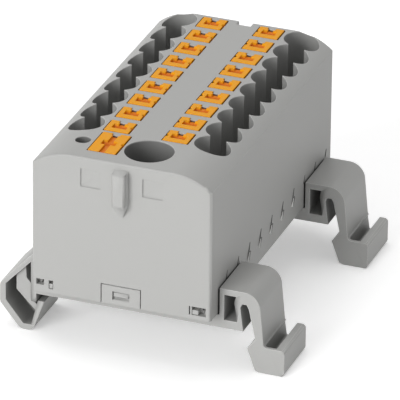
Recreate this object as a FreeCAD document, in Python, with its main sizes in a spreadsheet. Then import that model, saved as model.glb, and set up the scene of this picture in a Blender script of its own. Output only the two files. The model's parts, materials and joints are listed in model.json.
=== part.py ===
import FreeCAD, Part
import math
import os

import Sketcher

# Power distribution block on two rail feet. Millimetres.
# X runs across the 35 mm rail, Y along it and Z up. The origin lies on the rail's middle plane,
# halfway along the block, at the height of the rail's top faces, where the feet sit.
# The infeed end faces -Y, and the spring hooks of the feet are on the +X side.

SIZES = {
    # Rail
    "rail_width": "35",
    "rail_sheet": "1",
    # Housing outside
    "housing_width": "28.4",
    "housing_length": "53.4",
    "housing_height": "23.5",
    "crown_drop": "2.3",
    "crown_flat": "16",
    "housing_shift": "-2.85",
    "end_bevel": "0.4",
    # Housing walls and chambers
    "outer_wall": "1.3",
    "end_wall": "1",
    "deck_height": "12.4",
    "chamber_floor": "2.2",
    # Terminal points
    "cells_per_row": "9",
    "first_cell": "11.5",
    "last_cell": "2.86",
    "button_depth": "3.5",
    "button_inset": "2.6",
    "button_gap": "0.1",
    "button_proud": "0.1",
    "button_tail": "1.5",
    "catch_reach": "0.5",
    "catch_height": "0.8",
    "nub_width": "1.1",
    "nub_depth": "0.5",
    "thumb_notch": "0.45",
    "notch_depth": "1.4",
    "recess_width": "1.4",
    "recess_length": "2.3",
    "recess_depth": "0.6",
    "channel_width": "0.9",
    "channel_depth": "0.35",
    # Conductor funnels
    "funnel_radius": "2.75",
    "funnel_margin": "4.2",
    "funnel_gap": "0.55",
    "hole_depth": "1.4",
    "taper_depth": "1.2",
    "taper_angle": "18",
    "hole_width": "2.8",
    # Infeed
    "infeed_place_x": "2.3",
    "infeed_place_y": "5.5",
    "infeed_radius": "3.75",
    "infeed_floor": "2.1",
    "infeed_bore_radius": "2.6",
    "infeed_button_reach": "4.6",
    "infeed_button_depth": "6.4",
    "infeed_button_outer": "6.45",
    "infeed_chamber_reach": "7",
    # Test tap
    "test_place_x": "-8.25",
    "test_place_y": "5.6",
    "test_radius": "1.2",
    "test_tongue_width": "1.6",
    "test_well_fit": "0.3",
    # Front and back faces
    "window_width": "3.25",
    "window_height": "3",
    "window_place": "4.9",
    "window_drop": "1.85",
    "window_depth": "0.25",
    "rib_width": "2.15",
    "rib_depth": "1.5",
    "rib_slope": "0.4",
    "rib_drop": "1",
    "rib_length": "5.3",
    "rib_point": "2.6",
    "rib_tip": "0.55",
    "rib_bevel": "0.35",
    "rib_fit": "0.15",
    "corner_slot_width": "2.7",
    "corner_slot_height": "1.4",
    "corner_slot_place": "10.8",
    "corner_slot_rise": "0.7",
    # Dents and bumps low in the long sides
    "dent_width": "0.7",
    "dent_height": "1.3",
    "dent_depth": "0.5",
    "dent_lean": "0.35",
    "dent_rise": "4",
    "first_dent": "6.6",
    "bump_proud": "0.25",
    "bumps": "5",
    "dents_before_bumps": "2",
    # Base cover
    "cover_thickness": "1.2",
    "cover_fit": "0.1",
    "tab_width": "6.1",
    "tab_height": "3.1",
    "tab_fit": "0.15",
    "tab_thickness": "0.5",
    "tab_window_width": "2.7",
    "tab_window_height": "1.4",
    "tab_window_rise": "0.8",
    "latch_fit": "0.2",
    "corner_nub_width": "1.7",
    "corner_nub_height": "0.7",
    # Current bar
    "bar_thickness": "0.8",
    "bar_fit": "0.4",
    "tongue_width": "2.8",
    "tongue_height": "7.6",
    # Clamp springs
    "spring_thickness": "0.35",
    "spring_width": "3",
    "spring_bend": "1.3",
    "spring_slope": "35",
    "spring_fit": "0.05",
    "spring_play": "0.3",
    "infeed_spring_width": "5.6",
    # Feet
    "foot_width": "9.5",
    "foot_inset": "3.1",
    "foot_fit": "0.05",
    "foot_wall": "0.95",
    "foot_web": "1",
    "beam_thickness": "2.25",
    "foot_reach_down": "6.4",
    "claw_reach": "6.4",
    "claw_top": "5.45",
    "claw_shoulder": "0.8",
    "claw_knee": "2.4",
    "claw_heel": "3.3",
    "claw_sole": "2",
    "nose_grip": "1.15",
    "nose_width": "1",
    "flange_play": "0.2",
    "stop_wall": "0.85",
    "stop_play": "0.1",
    "claw_slant": "1.15",
    "box_height": "4.25",
    "box_width": "4",
    "box_wall": "0.95",
    "box_floor": "1.35",
    "box_waist": "0.5",
    "gap_width": "1.35",
    "arm_wall": "1.55",
    "arm_crown": "2",
    "arm_lean": "0.85",
    "hook_grip": "1.45",
    "hook_bevel": "1.7",
    "hook_toe": "1.2",
    "lip_reach": "3.3",
    "lip_height": "4.25",
    "arch_radius": "2.6",
    "edge_radius": "0.6",
    "heel_radius": "1.2",
}

doc = FreeCAD.newDocument("distribution_block")
sheet = doc.addObject("Spreadsheet::Sheet", "sizes")
for row, (alias, text) in enumerate(SIZES.items(), start=1):
    sheet.set(f"A{row}", alias)
    sheet.set(f"B{row}", text)
    sheet.setAlias(f"B{row}", alias)
doc.recompute()


class Term:
    """A length or count, held as its number and as the sheet formula that gives it."""

    def __init__(self, value, text):
        self.value = value
        self.text = text

    def __add__(self, other):
        other = term(other)
        return Term(self.value + other.value, f"({self.text} + {other.text})")

    def __sub__(self, other):
        other = term(other)
        return Term(self.value - other.value, f"({self.text} - {other.text})")

    def __mul__(self, other):
        other = term(other)
        return Term(self.value * other.value, f"({self.text} * {other.text})")

    def __truediv__(self, other):
        other = term(other)
        return Term(self.value / other.value, f"({self.text} / {other.text})")

    def __radd__(self, other):
        return term(other) + self

    def __rsub__(self, other):
        return term(other) - self

    def __rmul__(self, other):
        return term(other) * self

    def __neg__(self):
        return Term(-self.value, f"(0 - {self.text})")


def term(number):
    return number if isinstance(number, Term) else Term(float(number), repr(float(number)))


def sine(angle):
    return Term(math.sin(math.radians(angle.value)), f"sin({angle.text})")


def cosine(angle):
    return Term(math.cos(math.radians(angle.value)), f"cos({angle.text})")


def size(name):
    return Term(float(sheet.get(name)), f"sizes.{name}")


def vector(x, y, z):
    return FreeCAD.Vector(x, y, z)


def origin_plane(body, role):
    return [item for item in body.Origin.OriginFeatures if item.Role == role][0]


def new_body(name):
    body = doc.addObject("PartDesign::Body", name)
    body.Label = name
    return body


def new_sketch(body, name, plane, height=None, across=None):
    """A sketch on one of the body's own origin planes, moved along its normal and its first axis."""
    sketch = body.newObject("Sketcher::SketchObject", name)
    sketch.AttachmentSupport = [(origin_plane(body, plane), "")]
    sketch.MapMode = "FlatFace"
    if height is not None:
        sketch.setExpression("AttachmentOffset.Base.z", height.text)
    if across is not None:
        sketch.setExpression("AttachmentOffset.Base.x", across.text)
    return sketch


def pin_point(sketch, geometry, point, across, up):
    """Ties one point of the sketch to the sheet, along both axes of the sketch."""
    for kind, place in (("DistanceX", across), ("DistanceY", up)):
        index = sketch.addConstraint(Sketcher.Constraint(kind, -1, 1, geometry, point, place.value))
        sketch.setExpression(f"Constraints[{index}]", place.text)


def add_outline(sketch, corners, arcs=None):
    """A closed outline. arcs maps a side's number to its centre's place across and its turn.

    The turn is 1 for an arc walked anticlockwise and -1 for one walked clockwise.
    """
    arcs = arcs or {}
    corners = [(term(across), term(up)) for across, up in corners]
    points = [vector(across.value, up.value, 0) for across, up in corners]
    count = len(corners)
    first = sketch.GeometryCount
    tips = []
    for side in range(count):
        ends = [points[side], points[(side + 1) % count]]
        tips.append((1, 2))
        if side not in arcs:
            sketch.addGeometry(Part.LineSegment(*ends))
            continue
        across, turn = arcs[side]
        if turn < 0:
            ends.reverse()
            tips[-1] = (2, 1)
        centre = arc_centre(*ends, across.value)
        angles = [math.atan2(point.y - centre.y, point.x - centre.x) for point in ends]
        circle = Part.Circle(centre, vector(0, 0, 1), ends[0].distanceToPoint(centre))
        sketch.addGeometry(Part.ArcOfCircle(circle, *angles))
    for side in range(count):
        following = (side + 1) % count
        sketch.addConstraint(Sketcher.Constraint(
            "Coincident", first + side, tips[side][1], first + following, tips[following][0]))
    for side, (across, up) in enumerate(corners):
        pin_point(sketch, first + side, tips[side][0], across, up)
    for side, (across, turn) in arcs.items():
        index = sketch.addConstraint(
            Sketcher.Constraint("DistanceX", -1, 1, first + side, 3, across.value))
        sketch.setExpression(f"Constraints[{index}]", across.text)


def arc_centre(start, end, across):
    """The point at the given X that is as far from the start as from the end."""
    middle = (start + end) * 0.5
    run, rise = end.x - start.x, end.y - start.y
    return vector(across, middle.y - run * (across - middle.x) / rise, 0)


def add_box(sketch, near, far, low, high):
    add_outline(sketch, [(near, low), (far, low), (far, high), (near, high)])


def add_circle(sketch, across, up, radius):
    across, up, radius = term(across), term(up), term(radius)
    circle = Part.Circle(vector(across.value, up.value, 0), vector(0, 0, 1), radius.value)
    geometry = sketch.addGeometry(circle)
    pin_point(sketch, geometry, 3, across, up)
    index = sketch.addConstraint(Sketcher.Constraint("Radius", geometry, radius.value))
    sketch.setExpression(f"Constraints[{index}]", radius.text)


def new_pad(body, sketch, length):
    pad = body.newObject("PartDesign::Pad", sketch.Name + "_pad")
    pad.Profile = sketch
    pad.setExpression("Length", length.text)
    return pad


def new_pocket(body, sketch, length, along_normal=False):
    """A pocket that cuts against the sketch's normal, or along it."""
    pocket = body.newObject("PartDesign::Pocket", sketch.Name + "_pocket")
    pocket.Profile = sketch
    pocket.setExpression("Length", length.text)
    pocket.Reversed = along_normal
    return pocket


def new_row(body, features, count, step, name):
    """Repeats features along the rail at an even step."""
    row = body.newObject("PartDesign::LinearPattern", name)
    row.Originals = features
    row.Direction = (origin_plane(body, "Y_Axis"), [""])
    row.setExpression("Length", (step * (count - 1)).text)
    row.setExpression("Occurrences", count.text)
    body.Tip = row
    return row


def picked_edges(body, wanted):
    """The edges of the body so far that the function named wanted picks out."""
    doc.recompute()
    base = body.Tip
    return base, [f"Edge{number}" for number, edge in enumerate(base.Shape.Edges, start=1) if wanted(edge)]


def round_edges(body, wanted, radius, name):
    edges = picked_edges(body, wanted)
    fillet = body.newObject("PartDesign::Fillet", name)
    fillet.Base = edges
    fillet.setExpression("Radius", radius.text)


def bevel_edges(body, wanted, width, name):
    edges = picked_edges(body, wanted)
    bevel = body.newObject("PartDesign::Chamfer", name)
    bevel.Base = edges
    bevel.setExpression("Size", width.text)


def running_through(places, near=0.01):
    """Picks the edges that run along Y through any of the given X and Z."""
    def wanted(edge):
        ends = [vertex.Point for vertex in edge.Vertexes]
        for across, up in places:
            on_place = all(abs(p.x - across.value) < near and abs(p.z - up.value) < near for p in ends)
            if on_place and ends[0].distanceToPoint(ends[-1]) > near:
                return True
        return False
    return wanted


def round_the_ends(edge, near=0.01):
    """Picks the edges of the two end faces, apart from those of the underside."""
    box = edge.BoundBox
    on_end = box.YLength < near and abs(abs(box.Center.y) - back.value) < near
    return on_end and box.ZMax > bottom.value + near


# Places that more than one piece shares

rail_half = size("rail_width") / 2
middle = size("housing_shift")
half_width = size("housing_width") / 2
half_length = size("housing_length") / 2
front = -half_length
back = half_length
left_wall = middle - half_width
right_wall = middle + half_width
bottom = size("beam_thickness")
top = bottom + size("housing_height")
side_top = top - size("crown_drop")
deck_underside = bottom + size("deck_height")
chamber_bottom = bottom + size("chamber_floor")
chamber_outer = half_width - size("outer_wall")
chamber_inner = size("button_inset") - size("button_gap")
funnel_place = half_width - size("funnel_margin")
button_outer = funnel_place - size("funnel_radius") - size("funnel_gap")
cell_half = size("button_depth") / 2 + size("button_gap")
first_cell_y = front + size("first_cell")
pitch = (back - size("last_cell") - first_cell_y) / (size("cells_per_row") - 1)
taper_end = deck_underside + size("hole_depth")
funnel_floor = taper_end + size("taper_depth")
cover_top = bottom + size("cover_thickness")
bar_top = cover_top + size("bar_thickness")
tongue_outer = chamber_outer - size("bar_fit")
tongue_inner = tongue_outer - size("bar_thickness")
infeed_y = front + size("infeed_place_y")
infeed_x = middle + size("infeed_place_x")
test_x = middle + size("test_place_x")
test_y = front + size("test_place_y")
test_tap_floor = cover_top + size("tongue_height") + size("button_gap")
infeed_button_y = first_cell_y - cell_half - size("outer_wall") / 2 - size("infeed_button_depth") / 2
infeed_half = size("infeed_button_depth") / 2 + size("button_gap")
infeed_tongue_outer = middle + size("infeed_chamber_reach") - size("spring_play")
infeed_tongue_inner = infeed_tongue_outer - size("bar_thickness")
button_bottom = deck_underside - size("button_tail")
tab_half = size("tab_width") / 2
tab_window_top = bottom + size("tab_window_rise") + size("tab_window_height")
slot_low = bottom + size("corner_slot_rise")


def side_name(side):
    return "right" if side > 0 else "left"


# Housing


def build_housing():
    """The moulded body: crowned block, two rows of shafts and funnels, chambers open below."""
    body = new_body("housing")
    add_block(body)
    add_front_rib(body)
    cut_face_windows(body)
    cut_base_recess(body)
    cut_infeed(body)
    cut_terminal_rows(body)
    add_latches(body)
    add_side_marks(body)
    return body


def add_block(body):
    section = new_sketch(body, "section", "XZ_Plane", -back)
    flat = size("crown_flat") / 2
    corners = [(left_wall, bottom), (right_wall, bottom), (right_wall, side_top), (middle + flat, top),
               (middle - flat, top), (left_wall, side_top)]
    add_outline(section, corners, {2: (middle + flat, 1), 4: (middle - flat, 1)})
    new_pad(body, section, size("housing_length"))
    bevel_edges(body, round_the_ends, size("end_bevel"), "end_bevels")


def add_front_rib(body):
    """The guide rib of the front face, pointed below, and the groove that takes one at the back."""
    half = size("rib_width") / 2
    rib_top = top - size("rib_drop")
    shoulder = rib_top - size("rib_length")
    tip = shoulder - size("rib_point")
    profile = new_sketch(body, "rib_side", "YZ_Plane", middle - half)
    face = front - size("rib_depth")
    add_outline(profile, [(front, tip), (front, rib_top), (face, rib_top - size("rib_slope")),
                          (face, shoulder)])
    new_pad(body, profile, size("rib_width"))
    trim = new_sketch(body, "rib_point_trim", "XZ_Plane", -front)
    for side in (-1, 1):
        add_outline(trim, [(middle + half * side, shoulder), (middle + half * side, tip),
                           (middle + size("rib_tip") / 2 * side, tip)])
    new_pocket(body, trim, size("rib_depth"), along_normal=True)
    bevel_rib(body, tip, rib_top)
    groove = new_sketch(body, "back_groove", "XY_Plane", tip)
    groove_half = half + size("rib_fit")
    add_box(groove, middle - groove_half, middle + groove_half,
            back - size("rib_depth") - size("rib_fit"), back)
    new_pocket(body, groove, top - tip, along_normal=True)


def bevel_rib(body, low, high):
    """Bevels both upright edges of the rib's outer face."""
    corners = new_sketch(body, "rib_bevels", "XY_Plane", low)
    half, bevel = size("rib_width") / 2, size("rib_bevel")
    face = front - size("rib_depth")
    for side in (-1, 1):
        edge = middle + half * side
        add_outline(corners, [(edge, face), (edge, face + bevel), (edge - bevel * side, face)])
    new_pocket(body, corners, high - low, along_normal=True)


def cut_face_windows(body):
    """Shallow square windows beside the rib, the cut-outs for the cover's tabs and the corner slots."""
    windows = new_sketch(body, "windows", "XZ_Plane", -front)
    window_top = top - size("window_drop")
    for side in (-1, 1):
        place = middle + size("window_place") * side
        add_box(windows, place - size("window_width") / 2, place + size("window_width") / 2,
                window_top - size("window_height"), window_top)
    new_pocket(body, windows, size("window_depth"))
    slots = new_sketch(body, "corner_slots", "XZ_Plane", -front)
    for side in (-1, 1):
        near = middle + size("corner_slot_place") * side
        far = near + size("corner_slot_width") * side
        add_box(slots, near, far, slot_low, slot_low + size("corner_slot_height"))
    new_pocket(body, slots, size("end_wall"))
    passage = new_sketch(body, "cover_passage", "XZ_Plane", -front)
    opening = tab_half + size("tab_fit")
    add_box(passage, middle - opening, middle + opening, bottom, cover_top + size("tab_fit"))
    new_pocket(body, passage, size("housing_length"))
    seat = size("tab_thickness") + size("cover_fit")
    for end, face in (("front", front), ("back", back - seat)):
        tab = new_sketch(body, f"tab_seat_{end}", "XZ_Plane", -face)
        add_box(tab, middle - opening, middle + opening, bottom,
                bottom + size("tab_height") + size("tab_fit"))
        new_pocket(body, tab, seat)


def cut_base_recess(body):
    """The open underside that takes the current bar and the base cover."""
    recess = new_sketch(body, "base_recess", "XY_Plane", bottom)
    wall, end_wall = size("outer_wall"), size("end_wall")
    add_box(recess, left_wall + wall, right_wall - wall, front + end_wall, back - end_wall)
    new_pocket(body, recess, size("chamber_floor"), along_normal=True)


def cut_infeed(body):
    """The infeed conductor's entry and chamber, its button shaft and the test tap."""
    entry = new_sketch(body, "infeed_entry", "XY_Plane", top)
    add_circle(entry, infeed_x, infeed_y, size("infeed_radius"))
    new_pocket(body, entry, top - deck_underside - size("infeed_floor"))
    bore = new_sketch(body, "infeed_bore", "XY_Plane", top)
    add_circle(bore, infeed_x, infeed_y, size("infeed_bore_radius"))
    new_pocket(body, bore, top - deck_underside)
    shaft = new_sketch(body, "infeed_shaft", "XY_Plane", top)
    outer = middle - size("infeed_button_outer") - size("button_gap")
    inner = middle - size("infeed_button_outer") + size("infeed_button_reach") + size("button_gap")
    add_shaft(shaft, outer, inner, infeed_button_y, infeed_half)
    new_pocket(body, shaft, top - deck_underside)
    chamber = new_sketch(body, "infeed_chamber", "XY_Plane", deck_underside)
    add_box(chamber, outer, middle + size("infeed_chamber_reach"), infeed_button_y - infeed_half,
            infeed_button_y + infeed_half)
    new_pocket(body, chamber, deck_underside - chamber_bottom)
    tap = new_sketch(body, "test_tap", "XY_Plane", top)
    add_circle(tap, test_x, test_y, size("test_radius"))
    new_pocket(body, tap, top - test_tap_floor)
    well = new_sketch(body, "test_well", "XY_Plane", test_tap_floor)
    half_x = size("bar_thickness") / 2 + size("test_well_fit")
    half_y = size("test_tongue_width") / 2 + size("test_well_fit")
    add_box(well, test_x - half_x, test_x + half_x, test_y - half_y, test_y + half_y)
    new_pocket(body, well, test_tap_floor - chamber_bottom)


def add_shaft(sketch, left, right, centre_y, half, fit=None):
    """A button's outline from above, with the guide nub in the middle of its back edge."""
    centre_x = (left + right) / 2
    grow = fit or term(0)
    nub = (size("nub_width") / 2 + grow) * (1 if left.value < right.value else -1)
    nub_front = centre_y + half - size("nub_depth") - grow
    back_edge = centre_y + half
    add_outline(sketch, [(left, centre_y - half), (right, centre_y - half), (right, back_edge),
                         (centre_x + nub, back_edge), (centre_x + nub, nub_front),
                         (centre_x - nub, nub_front), (centre_x - nub, back_edge), (left, back_edge)])


def cut_terminal_rows(body):
    """One terminal point each side, with shaft, funnel and chamber, repeated along both rows."""
    features = []
    for side in (-1, 1):
        name = side_name(side)
        near = middle + chamber_inner * side
        far = middle + (button_outer + size("button_gap")) * side
        shaft = new_sketch(body, f"shaft_{name}", "XY_Plane", top)
        add_shaft(shaft, near, far, first_cell_y, cell_half)
        features.append(new_pocket(body, shaft, top - deck_underside))
        outer = middle + chamber_outer * side
        chamber = new_sketch(body, f"chamber_{name}", "XY_Plane", deck_underside)
        add_box(chamber, near, outer, first_cell_y - cell_half, first_cell_y + cell_half)
        features.append(new_pocket(body, chamber, deck_underside - chamber_bottom))
        mouth = new_sketch(body, f"mouth_{name}", "XY_Plane", top)
        add_circle(mouth, middle + funnel_place * side, first_cell_y, size("funnel_radius"))
        features.append(new_pocket(body, mouth, top - funnel_floor))
    new_row(body, features, size("cells_per_row"), pitch, "terminal_rows")
    holes = []
    for side in (-1, 1):
        holes += cut_conductor_hole(body, middle + funnel_place * side, side_name(side))
    new_row(body, holes, size("cells_per_row"), pitch, "hole_rows")


def cut_conductor_hole(body, place, name):
    """The square hole in a funnel's floor, tapered in its upper part, down to the clamp."""
    angle = size("taper_angle")
    half = size("hole_width") / 2
    spread = size("taper_depth") * sine(angle) / cosine(angle)
    hole = new_sketch(body, f"hole_{name}", "XY_Plane", funnel_floor)
    add_box(hole, place - half, place + half, first_cell_y - half, first_cell_y + half)
    lead = new_sketch(body, f"lead_{name}", "XY_Plane", funnel_floor)
    wide = half + spread
    add_box(lead, place - wide, place + wide, first_cell_y - wide, first_cell_y + wide)
    taper = new_pocket(body, lead, size("taper_depth"))
    taper.setExpression("TaperAngle", (-angle).text)
    return [new_pocket(body, hole, funnel_floor - deck_underside), taper]


def add_latches(body):
    """The noses on the end walls that catch in the windows of the cover's tabs."""
    half = size("tab_window_width") / 2 - size("latch_fit")
    for end, face in (("front", front + size("tab_thickness") + size("cover_fit")),
                      ("back", back - size("cover_fit"))):
        nose = new_sketch(body, f"latch_{end}", "XZ_Plane", -face)
        add_box(nose, middle - half, middle + half, cover_top + size("tab_fit"),
                tab_window_top - size("latch_fit"))
        new_pad(body, nose, size("tab_thickness"))


def add_side_marks(body):
    """Leaning dents low in both long sides, and a bump under each dent between the feet."""
    dents, bumps = [], []
    low = bottom + size("dent_rise")
    first = front + size("first_dent")
    for side in (-1, 1):
        wall = left_wall if side < 0 else right_wall
        dent = new_sketch(body, f"dent_{side_name(side)}", "YZ_Plane", wall)
        add_side_mark(dent, first, low, 1)
        dents.append(new_pocket(body, dent, size("dent_depth"), along_normal=side < 0))
    new_row(body, dents, size("cells_per_row") + 1, pitch, "dent_rows")
    for side in (-1, 1):
        wall = left_wall - size("bump_proud") if side < 0 else right_wall
        bump = new_sketch(body, f"bump_{side_name(side)}", "YZ_Plane", wall)
        add_side_mark(bump, first + pitch * size("dents_before_bumps"), low, -1)
        bumps.append(new_pad(body, bump, size("bump_proud")))
    new_row(body, bumps, size("bumps"), pitch, "bump_rows")


def add_side_mark(sketch, place, low, up):
    """One leaning mark that narrows away from its base, above the base or, turned round, below it."""
    half, lean, height = size("dent_width") / 2 * up, size("dent_lean") * up, size("dent_height") * up
    add_outline(sketch, [(place - half, low), (place + half, low), (place + half + lean, low + height),
                         (place + lean, low + height)])


# Base cover


def build_base_cover():
    """The plate that closes the underside, with a snap tab up through each end wall."""
    body = new_body("base_cover")
    side_gap = size("outer_wall") + size("cover_fit")
    end_gap = size("end_wall") + size("cover_fit")
    plate = new_sketch(body, "plate", "XY_Plane", bottom)
    add_box(plate, left_wall + side_gap, right_wall - side_gap, front + end_gap, back - end_gap)
    new_pad(body, plate, size("cover_thickness"))
    roots = new_sketch(body, "tab_roots", "XY_Plane", bottom)
    add_box(roots, middle - tab_half, middle + tab_half, front, front + end_gap)
    add_box(roots, middle - tab_half, middle + tab_half, back - end_gap, back)
    new_pad(body, roots, size("cover_thickness"))
    thickness = size("tab_thickness")
    half = size("tab_window_width") / 2
    for end, face in (("front", front), ("back", back - thickness)):
        tab = new_sketch(body, f"tab_{end}", "XY_Plane", bottom)
        add_box(tab, middle - tab_half, middle + tab_half, face, face + thickness)
        new_pad(body, tab, size("tab_height"))
        window = new_sketch(body, f"tab_window_{end}", "XZ_Plane", -face)
        add_box(window, middle - half, middle + half, bottom + size("tab_window_rise"), tab_window_top)
        new_pocket(body, window, thickness)
    add_corner_nubs(body, end_gap)
    return body


def add_corner_nubs(body, end_gap):
    """The two nubs on the cover's front edge that snap into the corner slots."""
    fit = size("cover_fit")
    nubs = new_sketch(body, "corner_nubs", "XY_Plane", slot_low + fit)
    for side in (-1, 1):
        near = middle + (size("corner_slot_place") + fit) * side
        add_box(nubs, near, near + size("corner_nub_width") * side, front + fit, front + end_gap + fit * 2)
    new_pad(body, nubs, size("corner_nub_height"))


# Current bar


def build_current_bar():
    """The copper bar over the whole length, with a contact tongue bent up at each terminal point."""
    body = new_body("current_bar")
    plate = new_sketch(body, "strip", "XY_Plane", cover_top)
    end = size("end_wall") + size("bar_fit")
    add_box(plate, middle - tongue_outer, middle + tongue_outer, front + end, back - end)
    new_pad(body, plate, size("bar_thickness"))
    single = new_sketch(body, "infeed_and_test_tongues", "XY_Plane", cover_top)
    half = infeed_half - size("bar_fit")
    add_box(single, infeed_tongue_inner, infeed_tongue_outer, infeed_button_y - half,
            infeed_button_y + half)
    half = size("bar_thickness") / 2
    add_box(single, test_x - half, test_x + half, test_y - size("test_tongue_width") / 2,
            test_y + size("test_tongue_width") / 2)
    new_pad(body, single, size("tongue_height"))
    features = []
    for side in (-1, 1):
        tongue = new_sketch(body, f"tongue_{side_name(side)}", "XY_Plane", cover_top)
        add_box(tongue, middle + tongue_inner * side, middle + tongue_outer * side,
                first_cell_y - size("tongue_width") / 2, first_cell_y + size("tongue_width") / 2)
        features.append(new_pad(body, tongue, size("tongue_height")))
    new_row(body, features, size("cells_per_row"), pitch, "tongue_rows")
    return body


# Push buttons


def build_button(name, notch_edge, plain_edge, catch_edge, centre_y, half, channel_start):
    """An orange release button: guide groove, thumb notch, tapered driver recess and a catch.

    The edges are places along X, and the catch holds the button under the deck at catch_edge.
    A channel runs through the recess from channel_start to the guide groove.
    """
    body = new_body(name)
    crown = top + size("button_proud")
    centre_x = (notch_edge + plain_edge) / 2
    outline = new_sketch(body, f"{name}_outline", "XY_Plane", button_bottom)
    add_shaft(outline, notch_edge, plain_edge, centre_y, half, size("button_gap"))
    new_pad(body, outline, crown - button_bottom)
    catch = new_sketch(body, f"{name}_catch", "XY_Plane", button_bottom)
    outward = 1 if catch_edge.value > centre_x.value else -1
    add_box(catch, catch_edge, catch_edge + size("catch_reach") * outward, centre_y - half,
            centre_y + half)
    new_pad(body, catch, size("catch_height"))
    recess = new_sketch(body, f"{name}_recess", "YZ_Plane", centre_x - size("recess_length") / 2)
    rim = size("recess_width") / 2
    floor = crown - size("recess_depth")
    add_outline(recess, [(centre_y - rim, crown), (centre_y - rim / 2, floor), (centre_y + rim / 2, floor),
                         (centre_y + rim, crown)])
    new_pocket(body, recess, size("recess_length"), along_normal=True)
    channel = new_sketch(body, f"{name}_channel", "XY_Plane", crown)
    channel_half = size("channel_width") / 2
    add_box(channel, centre_x - channel_half, centre_x + channel_half, channel_start, centre_y + half)
    new_pocket(body, channel, size("channel_depth"))
    notch = new_sketch(body, f"{name}_notch", "XY_Plane", crown)
    add_circle(notch, notch_edge, centre_y, size("thumb_notch"))
    new_pocket(body, notch, size("notch_depth"))
    return body


# Clamp springs


def build_spring(name, anchor, outward, centre_y, width, reach):
    """A leg spring of flat steel: an upright leg, one bend under the button and a sloping clamp leg."""
    body = new_body(name)
    half = size("spring_thickness") / 2
    bend = size("spring_bend")
    slope = size("spring_slope")
    centre = anchor + bend * outward
    level = button_bottom - size("spring_play") - half - bend
    fall = sine(slope) / cosine(slope)
    run = (reach - centre) * outward
    corners = [(anchor - half * outward, bar_top), (anchor + half * outward, bar_top),
               (anchor + half * outward, level)]
    for rim in (bend - half, bend + half):
        leave = (centre + rim * sine(slope) * outward, level + rim * cosine(slope))
        drop = (run - rim * sine(slope)) * fall
        side = [leave, (reach, leave[1] - drop)]
        corners += side if rim.value < bend.value else side[::-1]
    corners.append((anchor - half * outward, level))
    outline = new_sketch(body, f"{name}_outline", "XZ_Plane", -centre_y - width / 2)
    add_outline(outline, corners, {2: (centre, -outward), 6: (centre, outward)})
    new_pad(body, outline, width)
    return body


# Feet


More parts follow.
